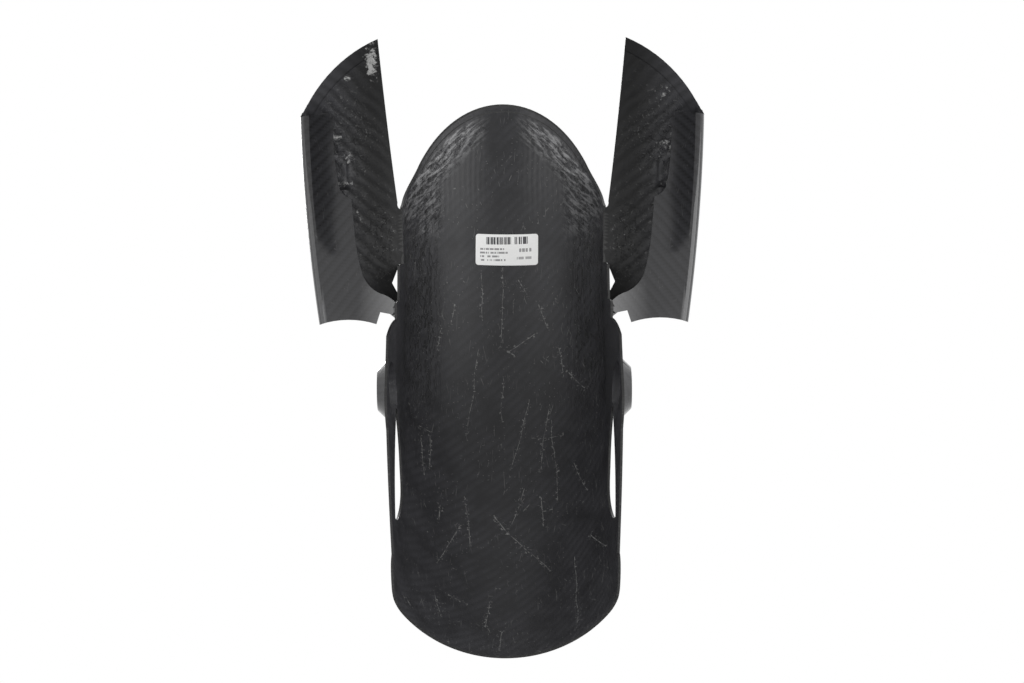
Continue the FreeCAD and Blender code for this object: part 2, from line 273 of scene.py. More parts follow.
band = (kind == BAG_SIDE) & (face_off > 0.3) & (face_off < 0.8)

# Distance of every point from the trimmed edges, for wear and for fading the creases out.
corner_vertex = np.empty(len(mesh.loops), int)
mesh.loops.foreach_get("vertex_index", corner_vertex)
corner_face = np.repeat(np.arange(faces), 3)
edge_points = np.unique(corner_vertex[kind[corner_face] == CUT_EDGE])
edges_near = kdtree.KDTree(len(edge_points))
for index in edge_points:
    edges_near.insert(mould[index], int(index))
edges_near.balance()
rim = np.array([edges_near.find(point)[2] for point in mould])


def ease(value, low, high):
    """A smooth step from nought at low to one at high."""
    t = np.clip((value - low) / (high - low), 0.0, 1.0)
    return t * t * (3.0 - 2.0 * t)


def wander(along, seed, length):
    """A slow, uneven drift along a line, from a few sine waves with seeded phases."""
    chance = random.Random(seed)
    total = np.zeros_like(along)
    for octave in (1.0, 1.9, 3.7):
        total += np.sin(along * octave * 2 * math.pi / length + chance.uniform(0, 6.28)) / octave
    return total / 1.8


# Bag marks on the wheel side: fine ribs behind the nose, long creases on the shoulders, a rough wing.
RIB_PITCH = 3.7
RIB_HEIGHT = 0.12
CREASE_HEIGHT = 0.22
PUCKER_HEIGHT = 0.15
WING_ROUGHNESS = 0.12
side_u = np.abs(arch_u)
rib_zone = ease(side_u, 8.0, 22.0) * (1 - ease(side_u, 58.0, 72.0)) * (1 - ease(arch_v, -20.0, 32.0))
crease_zone = ease(side_u, 40.0, 58.0) * (1 - ease(side_u, 84.0, 96.0)) * ease(arch_v, -40.0, -5.0)
crease_zone *= 1 - ease(arch_v, 120.0, 210.0)
pucker_zone = (1 - ease(rim, 9.0, 24.0)) * (1 - ease(arch_v, -14.0, 12.0)) * ease(side_u, 6.0, 30.0)
pucker_zone = np.maximum(pucker_zone, 0.45 * ease(side_u, 40.0, 52.0) * (1 - ease(arch_v, 10.0, 50.0)))
ribs = np.sin(2 * math.pi * (arch_u + 0.5 * wander(arch_v, 3, 60.0)) / RIB_PITCH)
ribs *= 0.65 + 0.35 * wander(arch_u, 5, 31.0)
folds = np.zeros(count)
for seed, middle, length in ((11, 50.0, 70.0), (12, 60.0, 90.0), (13, 69.0, 80.0), (14, 77.0, 110.0)):
    for way in (-1, 1):
        line = way * (middle + 3.5 * wander(arch_v, seed + 40 * way, length))
        strength = 0.55 + 0.45 * wander(arch_v, seed + 7 * way, length * 0.6)
        folds += strength * np.exp(-((arch_u - line) / 1.7) ** 2)
puckers = np.sin(2 * math.pi * (arch_u * 0.7 + arch_v * 0.35 + 3.0 * wander(arch_v, 21, 25.0)) / 7.0)
rough = wander(wing_u + 0.6 * wing_v, 31, 9.0) * wander(wing_v - 0.4 * wing_u, 32, 11.0)
bag_arch = ~on_wing & (np.abs(arch_off) < BAG_NEAR)
bag_wing = on_wing & (np.abs(wing_off) < BAG_NEAR) & (wing_swing < FAR_WALL_SWING)
fade = ease(rim, 1.0, 6.0)
lift = np.zeros(count)
lift += bag_arch * rib_zone * ribs * RIB_HEIGHT
lift += bag_arch * crease_zone * folds * CREASE_HEIGHT
lift += bag_arch * pucker_zone * puckers * PUCKER_HEIGHT
lift += bag_wing * rough * WING_ROUGHNESS
mould -= np.where(on_wing[:, None], wing_normal, arch_normal) * (lift * fade)[:, None]

# Where the return wall runs into the arch it curls down a little, so it catches the light there.
CURL_DROP = 5.5
CURL_FROM = 97.0
CURL_RUN = 27.0
curl = np.clip((CURL_FROM - np.abs(mould[:, 0])) / CURL_RUN, 0.0, 1.0)
curl *= ease(mould[:, 1], 56.0, 74.0) * (on_wing & (wing_swing > FOLD_SWEEP - 0.05))
mould[:, 2] -= CURL_DROP * curl ** 2
wing_normal[:, 0] += np.sign(mould[:, 0]) * curl * 2 * CURL_DROP / CURL_RUN
wing_normal /= np.linalg.norm(wing_normal, axis=1)[:, None]
points = from_mould(mould)
points = np.clip(points, np.array(cad_box[0]), np.array(cad_box[1]))
mesh.vertices.foreach_set("co", points.ravel())

# The cloth lies along and across the moulding, its pattern measured in millimetres.
weave = mesh.uv_layers.new(name="weave")
corner_wing = face_on_wing[corner_face]
corner_u = np.where(corner_wing, np.abs(wing_u[corner_vertex]), arch_u[corner_vertex])
corner_v = np.where(corner_wing, wing_v[corner_vertex], arch_v[corner_vertex])
weave.data.foreach_set("uv", np.stack([corner_u, corner_v], axis=1).ravel())
# Painted highlight: the rib crests get a paler colour, standing in for the light they catch.
rib_crest_highlight = mesh.attributes.new("ribs", "FLOAT", "POINT")
rib_crest_highlight.data.foreach_set("value", np.where(on_wing, 0.0, rib_zone * (0.5 + 0.5 * ribs)))
# Where the bag's crinkles are glazed and carry painted glints: by the wing roots and the reflector seats,
# and along the nose rim.
web = 0.06 + 0.55 * np.exp(-((np.abs(mould[:, 0]) - 82.0) / 14.0) ** 2 - ((mould[:, 1] - 38.0) / 24.0) ** 2)
web += 0.95 * np.exp(-((np.abs(mould[:, 0]) - 106.0) / 15.0) ** 2 - ((mould[:, 1] + 24.0) / 26.0) ** 2)
webbing = mesh.attributes.new("web", "FLOAT", "POINT")
webbing.data.foreach_set("value", np.where(on_wing, web, pucker_zone))
zones = mesh.attributes.new("zones", "FLOAT_COLOR", "CORNER")
# Resin-rich spots on the wings: glazed smoother there, and painted near-white as highlights in the colour.
RESIN_AND_GLINT_SPOTS = (
    (-85.5, -77.0, 4.5, 12.0, 1.0), (-101.3, -66.3, 2.0, 2.0, 1.0), (-110.7, -29.3, 8.0, 3.0, 0.62),
    (-102.6, -15.2, 3.0, 7.0, 0.6), (-106.0, 0.5, 8.0, 2.5, 0.62), (-97.0, 20.0, 2.5, 14.0, 0.5),
    (111.4, -21.9, 8.0, 3.0, 0.6), (112.0, 3.0, 8.0, 2.5, 0.62), (106.0, -55.5, 9.0, 7.0, 0.45),
    (100.0, 22.0, 3.0, 14.0, 0.45), (-112.0, 4.0, 7.0, 3.0, 0.6), (108.0, -24.0, 9.0, 3.0, 0.7),
)
resin = np.where(on_wing, 0.1, 0.0)
for spot_x, spot_y, reach_x, reach_y, strength in RESIN_AND_GLINT_SPOTS:
    spread = ((mould[:, 0] - spot_x) / reach_x) ** 2 + ((mould[:, 1] - spot_y) / reach_y) ** 2
    resin = np.where(on_wing, np.maximum(resin, strength * np.exp(-spread)), resin)
zone_parts = [
    np.where(on_wing, 0.0, crease_zone)[corner_vertex],
    corner_wing.astype(float),
    resin[corner_vertex],
    np.where(band[corner_face], 0.0, ease(rim, 0.0, 8.0)[corner_vertex]),
]
zones.data.foreach_set("color", np.stack(zone_parts, axis=1).ravel())
mesh.update()
SMOOTH_UP_TO = math.radians(38.0)
bpy.ops.object.shade_smooth_by_angle(angle=SMOOTH_UP_TO)

# The gloss side mirrors its surroundings, so its shading follows the mould's exact rounds.
true_lie = (kind == MOULD_SIDE) & (lie > 0.97)
normals = np.where(corner_wing[:, None], wing_normal[corner_vertex], arch_normal[corner_vertex])
normals = np.stack([normals[:, 0], normals[:, 1] * tilt_cos - normals[:, 2] * tilt_sin,
                    normals[:, 1] * tilt_sin + normals[:, 2] * tilt_cos], axis=1)
normals[~true_lie[corner_face]] = 0.0
mesh.normals_split_custom_set(normals.tolist())


def put(tree, kind, feeds=(), **settings):
    """Add a shader node, set it up, and feed its sockets with values or with other nodes' outputs."""
    made = tree.nodes.new(kind)
    for name, value in settings.items():
        setattr(made, name, value)
    for socket, feed in dict(feeds).items():
        if isinstance(feed, bpy.types.NodeSocket):
            tree.links.new(feed, made.inputs[socket])
        else:
            made.inputs[socket].default_value = feed
    return made


def calc(tree, operation, *feeds):
    """One step of arithmetic on sockets or numbers."""
    return put(tree, "ShaderNodeMath", enumerate(feeds), operation=operation).outputs[0]


def vector(tree, operation, first, second):
    """One step of arithmetic on places: sockets or triples."""
    return put(tree, "ShaderNodeVectorMath", {0: first, 1: second}, operation=operation)


def stretch(tree, place, factor):
    """A place made larger by one factor."""
    return put(tree, "ShaderNodeVectorMath", {0: place, "Scale": factor}, operation="SCALE").outputs[0]


def noise(tree, place, scale, detail, rough=0.5, twist=0.0):
    """A cloudy value over the surface."""
    feeds = {"Vector": place, "Scale": scale, "Detail": detail, "Roughness": rough, "Distortion": twist}
    return put(tree, "ShaderNodeTexNoise", feeds).outputs["Fac"]


def new_group(name, inputs, outputs):
    """A shader node group with vector inputs and number outputs, and its two end nodes."""
    group = bpy.data.node_groups.new(name, "ShaderNodeTree")
    for socket in inputs:
        group.interface.new_socket(socket, in_out="INPUT", socket_type="NodeSocketVector")
    for socket in outputs:
        group.interface.new_socket(socket, in_out="OUTPUT", socket_type="NodeSocketFloat")
    return group, group.nodes.new("NodeGroupInput"), group.nodes.new("NodeGroupOutput")


def new_finish(name):
    """A material and its tree and Principled node."""
    made = bpy.data.materials.new(name)
    made.use_nodes = True
    return made, made.node_tree, made.node_tree.nodes["Principled BSDF"]


def blend(tree, factor, low, high):
    """Between two numbers or values, by a mask."""
    return put(tree, "ShaderNodeMix", {0: factor, 2: low, 3: high}, data_type="FLOAT").outputs[0]


def tint(tree, factor, low, high):
    """Between two colours, by a mask."""
    return put(tree, "ShaderNodeMix", {0: factor, 6: low, 7: high}, data_type="RGBA").outputs[2]


def span(tree, value, low, high):
    """A mask that rises from nought at low to one at high."""
    feeds = {"Value": value, "From Min": low, "From Max": high}
    return put(tree, "ShaderNodeMapRange", feeds, interpolation_type="SMOOTHSTEP").outputs["Result"]


# Two-by-two twill: each two-millimetre yarn passes over two and under two. The weave is the cloth's own;
# its Tone and Band are painted sheen, with warp, weft and the diagonal bands made lighter or darker as
# their reflection would show.
YARN = 2.0
twill, entry, leave = new_group("twill_weave", ("Place",), ("Tone", "Band", "Height"))
place = put(twill, "ShaderNodeSeparateXYZ", {0: entry.outputs["Place"]})
across = calc(twill, "DIVIDE", place.outputs[0], YARN)
along = calc(twill, "DIVIDE", place.outputs[1], YARN)
across_in = calc(twill, "FRACT", across)
along_in = calc(twill, "FRACT", along)
step = calc(twill, "ADD", calc(twill, "FLOOR", across), calc(twill, "FLOOR", along))
step = calc(twill, "FLOORED_MODULO", step, 4.0)
warp_up = calc(twill, "LESS_THAN", step, 1.5)
warp_run = calc(twill, "MULTIPLY", calc(twill, "ADD", step, along_in), math.pi / 2)
weft_run = calc(twill, "ADD", calc(twill, "SUBTRACT", step, 2.0), across_in)
weft_run = calc(twill, "MULTIPLY", weft_run, math.pi / 2)
warp_lift = calc(twill, "SINE", warp_run)
weft_lift = calc(twill, "SINE", weft_run)
warp_round = calc(twill, "SINE", calc(twill, "MULTIPLY", across_in, math.pi))
weft_round = calc(twill, "SINE", calc(twill, "MULTIPLY", along_in, math.pi))
warp_high = calc(twill, "MULTIPLY", warp_lift, calc(twill, "POWER", warp_round, 0.5))
weft_high = calc(twill, "MULTIPLY", weft_lift, calc(twill, "POWER", weft_round, 0.5))
warp_tone = calc(twill, "MULTIPLY", warp_high, 0.45)
weft_tone = calc(twill, "MULTIPLY_ADD", weft_high, 0.7, 0.3)
twill.links.new(blend(twill, warp_up, weft_tone, warp_tone), leave.inputs["Tone"])
slant = calc(twill, "SINE", calc(twill, "MULTIPLY", calc(twill, "ADD", across, along), math.pi / 2))
twill.links.new(calc(twill, "MULTIPLY_ADD", slant, 0.5, 0.5), leave.inputs["Band"])
twill.links.new(blend(twill, warp_up, weft_high, warp_high), leave.inputs["Height"])

# One scratch: a thin line between two points of the moulding's skin.
scratch, entry, leave = new_group("scratch_line", ("Place", "Start", "End"), ("Mask", "Beside"))
scratch.interface.new_socket("Half Width", in_out="INPUT", socket_type="NodeSocketFloat")
gone = vector(scratch, "SUBTRACT", entry.outputs["Place"], entry.outputs["Start"])
run = vector(scratch, "SUBTRACT", entry.outputs["End"], entry.outputs["Start"])
over = vector(scratch, "DOT_PRODUCT", gone.outputs[0], run.outputs[0])
whole = vector(scratch, "DOT_PRODUCT", run.outputs[0], run.outputs[0])
share = calc(scratch, "DIVIDE", over.outputs["Value"], whole.outputs["Value"])
share = put(scratch, "ShaderNodeClamp", {0: share}).outputs[0]
away = vector(scratch, "DISTANCE", gone.outputs[0], stretch(scratch, run.outputs[0], share))
near = calc(scratch, "DIVIDE", away.outputs["Value"], entry.outputs["Half Width"])
beside = calc(scratch, "SUBTRACT", 1.0, span(scratch, near, 2.0, 9.0))
near = calc(scratch, "SUBTRACT", 1.0, span(scratch, near, 0.4, 1.0))
scratch.links.new(near, leave.inputs["Mask"])
scratch.links.new(beside, leave.inputs["Beside"])

# Fine handling marks: short hairlines and specks, thick in some places and absent in others.
marks, entry, leave = new_group("handling_marks", ("Place",), ("Lines", "Specks"))
patchy = noise(marks, entry.outputs["Place"], 0.035, 3.0)
lines = 0.0
for turn, fine in ((0.25, 0.11), (-0.5, 0.15), (1.1, 0.2)):
    feeds = {"Vector": entry.outputs["Place"], "Rotation": (0, 0, turn), "Scale": (fine, fine * 0.22, 1)}
    turned = put(marks, "ShaderNodeMapping", feeds).outputs[0]
    cells = put(marks, "ShaderNodeTexVoronoi", {"Vector": turned, "Scale": 1.0},
                feature="DISTANCE_TO_EDGE", voronoi_dimensions="2D")
    hair = calc(marks, "SUBTRACT", 1.0, span(marks, cells.outputs["Distance"], 0.004, 0.02))
    some = noise(marks, turned, 2.6, 2.0)
    hair = calc(marks, "MULTIPLY", hair, span(marks, some, 0.56, 0.66))
    lines = calc(marks, "MAXIMUM", lines, hair)
lines = calc(marks, "MULTIPLY", lines, span(marks, patchy, 0.42, 0.58))
dots = put(marks, "ShaderNodeTexVoronoi", {"Vector": entry.outputs["Place"], "Scale": 0.28},
           voronoi_dimensions="2D")
dot = calc(marks, "SUBTRACT", 1.0, span(marks, dots.outputs["Distance"], 0.05, 0.12))
chosen = put(marks, "ShaderNodeSeparateColor", {0: dots.outputs["Color"]})
dot = calc(marks, "MULTIPLY", dot, span(marks, chosen.outputs[0], 0.78, 0.8))
dot = calc(marks, "MULTIPLY", dot, span(marks, patchy, 0.4, 0.55))
marks.links.new(lines, leave.inputs["Lines"])
marks.links.new(dot, leave.inputs["Specks"])

# Mould side: clear gloss resin over the twill, with a few hairlines.
gloss, tree, face = new_finish("carbon_gloss")
cloth = put(tree, "ShaderNodeUVMap", uv_map="weave").outputs["UV"]
pattern = put(tree, "ShaderNodeGroup", node_tree=twill)
tree.links.new(cloth, pattern.inputs["Place"])
worn = put(tree, "ShaderNodeGroup", node_tree=marks)
tree.links.new(cloth, worn.inputs["Place"])
# Painted sheen: the twill's tone and bands set the yarns lighter or darker in the gloss side's colour.
yarn_sheen = calc(tree, "MULTIPLY", pattern.outputs["Tone"], 0.45)
yarn_sheen = calc(tree, "MULTIPLY_ADD", pattern.outputs["Band"], 0.55, yarn_sheen)
colour = tint(tree, yarn_sheen, (0.0014, 0.0014, 0.002, 1), (0.0165, 0.0166, 0.0192, 1))
scuff = calc(tree, "MULTIPLY", worn.outputs["Lines"], 0.35)
tree.links.new(tint(tree, scuff, colour, (0.09, 0.09, 0.09, 1)), face.inputs["Base Color"])
tree.links.new(blend(tree, noise(tree, cloth, 0.06, 4.0), 0.3, 0.42), face.inputs["Roughness"])
feeds = {"Height": pattern.outputs["Height"], "Strength": 0.25, "Distance": 0.0002}
relief = put(tree, "ShaderNodeBump", feeds)
tree.links.new(relief.outputs[0], face.inputs["Normal"])
face.inputs["Specular IOR Level"].default_value = 0.15
face.inputs["Coat Weight"].default_value = 1.0
face.inputs["Coat Roughness"].default_value = 0.05

# Bag side: dull, resin-starved cloth with creases and the marks of use. Its colour also carries painted
# light: flecks of resin, rib crests and rim glints as painted highlights, crease lines and wing roots as
# painted shade.
SCRATCHES = (
    ((-18, 118), (-26, 182), 0.22), ((-1, 134), (-2, 170), 0.22), ((17, 155), (4, 206), 0.28),
    ((31, 160), (24, 212), 0.28), ((39, 115), (43, 141), 0.30), ((-27, 232), (-24, 274), 0.28),
    ((-30, 258), (-47, 301), 0.30), ((-7, 247), (16, 279), 0.50), ((17, 279), (29, 301), 0.32),
    ((13, 223), (5, 253), 0.28), ((24, 233), (25, 257), 0.40), ((61, 285), (73, 308), 0.45),
    ((47, 297), (46, 373), 0.30), ((48, 213), (58, 242), 0.35), ((-47, 332), (-42, 354), 0.35),
    ((-36, 328), (-25, 331), 0.35), ((-63, 195), (-58, 225), 0.35), ((-54, 191), (-54, 219), 0.35),
    ((-64, 187), (-54, 188), 0.40), ((19, 183), (42, 186), 0.30), ((47, 139), (60, 155), 0.50),
    ((0, 115), (7, 119), 0.50), ((-11, 325), (-13, 353), 0.30), ((-2, 356), (-5, 377), 0.35),
    ((-16, 58), (-15, 94), 0.25), ((0, 56), (-2, 110), 0.28), ((10, 65), (16, 76), 0.45),
    ((24, 84), (30, 101), 0.50), ((-34, 85), (-38, 100), 0.30), ((-46, 105), (-48, 121), 0.30),
    ((2, 117), (21, 105), 0.30), ((33, 172), (36, 239), 0.25), ((-70, 363), (-67, 366), 0.60),
    ((-46, 247), (-45, 260), 0.45),
)
bag, tree, face = new_finish("carbon_bag_side")
cloth = put(tree, "ShaderNodeUVMap", uv_map="weave").outputs["UV"]
zone = put(tree, "ShaderNodeAttribute", attribute_name="zones")
part = put(tree, "ShaderNodeSeparateColor", {0: zone.outputs["Color"]})
creased, winged, resin_and_glint_mask = part.outputs[0], part.outputs[1], part.outputs[2]
drift = put(tree, "ShaderNodeTexNoise", {"Vector": cloth, "Scale": 0.03, "Detail": 1.0})
drift = vector(tree, "SUBTRACT", drift.outputs["Color"], (0.5, 0.5, 0.5)).outputs[0]
pulled = stretch(tree, drift, blend(tree, winged, 4.0, 11.0))
pulled = vector(tree, "ADD", cloth, pulled).outputs[0]
pattern = put(tree, "ShaderNodeGroup", node_tree=twill)
tree.links.new(stretch(tree, pulled, blend(tree, winged, 1.0, 0.8)), pattern.inputs["Place"])
worn = put(tree, "ShaderNodeGroup", node_tree=marks)
tree.links.new(cloth, worn.inputs["Place"])
bent = vector(tree, "MULTIPLY", drift, (6.0, 4.0, 0.0)).outputs[0]
bent = vector(tree, "ADD", cloth, bent).outputs[0]
drawn = 0.0
chipped = 0.0
for start, end, half in SCRATCHES:
    one = put(tree, "ShaderNodeGroup", node_tree=scratch)
    tree.links.new(bent, one.inputs["Place"])
    one.inputs["Start"].default_value = (*start, 0)
    one.inputs["End"].default_value = (*end, 0)
    one.inputs["Half Width"].default_value = half
    drawn = calc(tree, "MAXIMUM", drawn, one.outputs["Mask"])
    chipped = calc(tree, "MAXIMUM", chipped, one.outputs["Beside"])
skips = noise(tree, cloth, 0.28, 5.0, 0.65)
drawn = calc(tree, "MULTIPLY", drawn, span(tree, skips, 0.38, 0.62))
crumbs = noise(tree, cloth, 0.5, 3.0, 0.6)
chipped = calc(tree, "MULTIPLY", chipped, span(tree, crumbs, 0.58, 0.66))
drawn = calc(tree, "MAXIMUM", drawn, chipped)
lines = calc(tree, "MAXIMUM", calc(tree, "MULTIPLY", worn.outputs["Lines"], 0.6), drawn)
arched = calc(tree, "SUBTRACT", 1.0, winged)
lines = calc(tree, "MULTIPLY", lines, arched)
cloud = noise(tree, cloth, 0.05, 5.0, 0.6)
grain = noise(tree, cloth, 1.3, 3.0)
fleck = noise(tree, cloth, 0.32, 5.0, 0.68)
# Crease lines in the creased zone: grooves in the bump, and painted shade in their colour.
squeezed = put(tree, "ShaderNodeMapping", {"Vector": bent, "Scale": (0.24, 0.05, 1)})
crinkle = noise(tree, squeezed.outputs[0], 1.0, 4.0, 0.6)
crease_groove_and_shade = calc(tree, "ABSOLUTE", calc(tree, "SUBTRACT", crinkle, 0.5))
crease_groove_and_shade = calc(tree, "MULTIPLY", calc(tree, "SUBTRACT", 1.0, span(tree, crease_groove_and_shade, 0.0, 0.042)), creased)
patch = span(tree, cloud, 0.32, 0.6)
# Painted sheen: the twill's tone and bands set the yarns lighter or darker in the bag side's colour.
yarn_sheen = calc(tree, "MULTIPLY", pattern.outputs["Band"], 0.7)
yarn_sheen = calc(tree, "MULTIPLY_ADD", pattern.outputs["Tone"], 0.3, yarn_sheen)
yarn_sheen = calc(tree, "MULTIPLY", yarn_sheen, blend(tree, winged, calc(tree, "MULTIPLY", patch, 0.6), 1.0))
tone = calc(tree, "MULTIPLY_ADD", cloud, 0.35, calc(tree, "MULTIPLY", yarn_sheen, 0.6))
colour = tint(tree, tone, (0.0125, 0.0125, 0.0138, 1), (0.044, 0.044, 0.049, 1))
# Painted shade: each wing's far wall is darkened toward its root beside the arch.
from_root = put(tree, "ShaderNodeSeparateXYZ", {0: cloth}).outputs[0]
rooted = calc(tree, "SUBTRACT", 1.0, span(tree, from_root, 12.0, 46.0))
painted_root_shade = calc(tree, "MULTIPLY", calc(tree, "MULTIPLY", rooted, winged), 0.88)
colour = tint(tree, painted_root_shade, colour, (0.003, 0.003, 0.003, 1))
# Painted highlight: the rib crests are paled toward grey.
ribbed = put(tree, "ShaderNodeAttribute", attribute_name="ribs").outputs["Fac"]
colour = tint(tree, calc(tree, "MULTIPLY", ribbed, 0.4), colour, (0.085, 0.085, 0.086, 1))
# Painted shade: the crease lines are darkened nearly to black.
colour = tint(tree, calc(tree, "MULTIPLY", crease_groove_and_shade, 0.85), colour, (0.001, 0.001, 0.001, 1))
colour = tint(tree, calc(tree, "MULTIPLY", lines, 0.75), colour, (0.2, 0.2, 0.195, 1))
specks = calc(tree, "MULTIPLY", calc(tree, "MULTIPLY", worn.outputs["Specks"], 0.4), arched)
colour = tint(tree, specks, colour, (0.2, 0.2, 0.19, 1))
# Painted highlight: resin spots and flecks on the wings are tinted near-white.
shine = calc(tree, "MULTIPLY_ADD", resin_and_glint_mask, 0.42, fleck)
bright = calc(tree, "MULTIPLY", span(tree, shine, 0.7, 0.86), winged)
# Painted highlight: glints along the wrinkle ridges and pale streaks along the nose rim are tinted into the
# colour.
wrinkle = noise(tree, bent, 0.12, 4.0, 0.62, twist=1.2)
ridge = calc(tree, "ABSOLUTE", calc(tree, "SUBTRACT", wrinkle, 0.5))
ridge = calc(tree, "SUBTRACT", 1.0, span(tree, ridge, 0.0, 0.03))
sparkle = calc(tree, "MULTIPLY", ridge, span(tree, fleck, 0.48, 0.64))
sparkle = calc(tree, "MULTIPLY", sparkle, span(tree, cloud, 0.38, 0.55))
open_skin = span(tree, zone.outputs["Alpha"], 0.0, 0.3)
webbed = put(tree, "ShaderNodeAttribute", attribute_name="web").outputs["Fac"]
webbed = calc(tree, "MULTIPLY", webbed, open_skin)
sparkle = calc(tree, "MULTIPLY", sparkle, webbed)
painted_rim_glint = calc(tree, "MULTIPLY", calc(tree, "MULTIPLY", webbed, 0.85), arched)
over = put(tree, "ShaderNodeSeparateXYZ", {0: bent})
feeds = {0: calc(tree, "ABSOLUTE", over.outputs[0]), 1: over.outputs[1]}
mirrored = put(tree, "ShaderNodeCombineXYZ", feeds)
feeds = {"Vector": mirrored.outputs[0], "Rotation": (0, 0, 0.72), "Scale": (11.0, 2.6, 1.0)}
along_rim = put(tree, "ShaderNodeMapping", feeds, vector_type="TEXTURE")
streak = noise(tree, along_rim.outputs[0], 1.0, 5.0, 0.65)
painted_rim_glint = calc(tree, "MULTIPLY", painted_rim_glint, span(tree, streak, 0.43, 0.62))
colour = tint(tree, painted_rim_glint, colour, (0.27, 0.27, 0.275, 1))
bright = calc(tree, "MAXIMUM", bright, sparkle)
colour = tint(tree, calc(tree, "MULTIPLY", bright, 0.85), colour, (0.34, 0.34, 0.335, 1))
tree.links.new(colour, face.inputs["Base Color"])
dull = blend(tree, cloud, 0.36, 0.52)
dull = blend(tree, winged, dull, blend(tree, rooted, 0.36, 0.7))
glazed = calc(tree, "MAXIMUM", resin_and_glint_mask, webbed)
dull = blend(tree, calc(tree, "MULTIPLY", glazed, 0.7), dull, 0.22)
dull = blend(tree, zone.outputs["Alpha"], 0.5, dull)
tree.links.new(dull, face.inputs["Roughness"])
high = calc(tree, "MULTIPLY", grain, blend(tree, winged, 0.35, 0.9))
high = calc(tree, "MULTIPLY_ADD", pattern.outputs["Band"], calc(tree, "MULTIPLY", winged, 1.6), high)
coarse = calc(tree, "MULTIPLY_ADD", ridge, 0.5, fleck)
coarse = calc(tree, "MULTIPLY", coarse, calc(tree, "MULTIPLY", glazed, 5.0))
high = calc(tree, "ADD", high, coarse)
high = calc(tree, "MULTIPLY_ADD", crease_groove_and_shade, -1.2, high)
high = calc(tree, "MULTIPLY", high, zone.outputs["Alpha"])
relief = put(tree, "ShaderNodeBump", {"Height": high, "Strength": 0.7, "Distance": 0.0003})
tree.links.new(relief.outputs[0], face.inputs["Normal"])
face.inputs["IOR"].default_value = 1.36

# Trimmed edges: the cut plies, satin and a little paler where the saw broke the resin.
cut, tree, face = new_finish("carbon_cut_edge")
cloth = put(tree, "ShaderNodeUVMap", uv_map="weave").outputs["UV"]
saw = noise(tree, cloth, 0.8, 4.0, 0.7)
chip = span(tree, saw, 0.52, 0.68)
colour = tint(tree, chip, (0.004, 0.004, 0.004, 1), (0.03, 0.03, 0.029, 1))
tree.links.new(colour, face.inputs["Base Color"])
tree.links.new(blend(tree, chip, 0.35, 0.6), face.inputs["Roughness"])
relief = put(tree, "ShaderNodeBump", {"Height": saw, "Strength": 0.4, "Distance": 0.0002})
tree.links.new(relief.outputs[0], face.inputs["Normal"])

mesh.materials.clear()
for skin_material in (gloss, bag, cut):
    mesh.materials.append(skin_material)
mesh.polygons.foreach_set("material_index", kind)
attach(shell, "root")
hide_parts("mudguard_shell")

# The label: a small sheet of thin white paper, printed and cut with rounded corners.
# It is glued inside the crown, and its print is kept to plain bars and lines.
LABEL_FRONT = -0.1268
LABEL_LEFT = -0.0194
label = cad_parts["label"]
paper, tree, face = new_finish("label_paper_print")
spot = put(tree, "ShaderNodeTexCoord").outputs["Object"]
corner = (-LABEL_LEFT / MM, -LABEL_FRONT / MM, 0)
feeds = {"Vector": spot, "Location": corner, "Scale": (1 / MM, 1 / MM, 1 / MM)}
spot = put(tree, "ShaderNodeMapping", feeds).outputs[0]
axis = put(tree, "ShaderNodeSeparateXYZ", {0: spot})


def printed(left, right, top, bottom, pitch, share, seed):
    """A patch of print on the label: columns of the given pitch, a share of them inked."""
    inside = calc(tree, "GREATER_THAN", axis.outputs[0], left)
    inside = calc(tree, "MULTIPLY", inside, calc(tree, "LESS_THAN", axis.outputs[0], right))
    inside = calc(tree, "MULTIPLY", inside, calc(tree, "GREATER_THAN", axis.outputs[1], top))
    inside = calc(tree, "MULTIPLY", inside, calc(tree, "LESS_THAN", axis.outputs[1], bottom))
    column = calc(tree, "FLOOR", calc(tree, "DIVIDE", axis.outputs[0], pitch))
    column = calc(tree, "ADD", column, seed)
    chance = put(tree, "ShaderNodeTexWhiteNoise", {"W": column}, noise_dimensions="1D").outputs["Value"]
    return calc(tree, "MULTIPLY", inside, calc(tree, "LESS_THAN", chance, share))


PRINT_LINES = (
    (3.2, 20.0, 10.0, 11.3, 0.55, 0.62, 20.0, 0.75),
    (3.2, 22.5, 12.6, 13.9, 0.55, 0.62, 90.0, 0.75),
    (3.2, 18.0, 15.2, 16.5, 0.55, 0.62, 160.0, 0.75),
    (3.2, 21.0, 17.8, 19.1, 0.55, 0.62, 230.0, 0.75),
    (30.0, 39.0, 10.5, 13.0, 0.5, 0.7, 300.0, 0.7),
    (28.0, 39.0, 16.4, 18.2, 0.6, 0.65, 380.0, 0.6),
)
ink = printed(7.5, 36.5, 2.2, 7.4, 0.36, 0.56, 3.0)
for *patch_of_print, strength in PRINT_LINES:
    ink = calc(tree, "MAXIMUM", ink, calc(tree, "MULTIPLY", printed(*patch_of_print), strength))
fibre = noise(tree, spot, 0.9, 4.0)
sheet = tint(tree, fibre, (0.8, 0.8, 0.79, 1), (0.9, 0.9, 0.89, 1))
tree.links.new(tint(tree, ink, sheet, (0.045, 0.045, 0.05, 1)), face.inputs["Base Color"])
tree.links.new(blend(tree, ink, 0.55, 0.42), face.inputs["Roughness"])
relief = put(tree, "ShaderNodeBump", {"Height": fibre, "Strength": 0.15, "Distance": 0.0001})
tree.links.new(relief.outputs[0], face.inputs["Normal"])
label.data.materials.clear()
label.data.materials.append(paper)

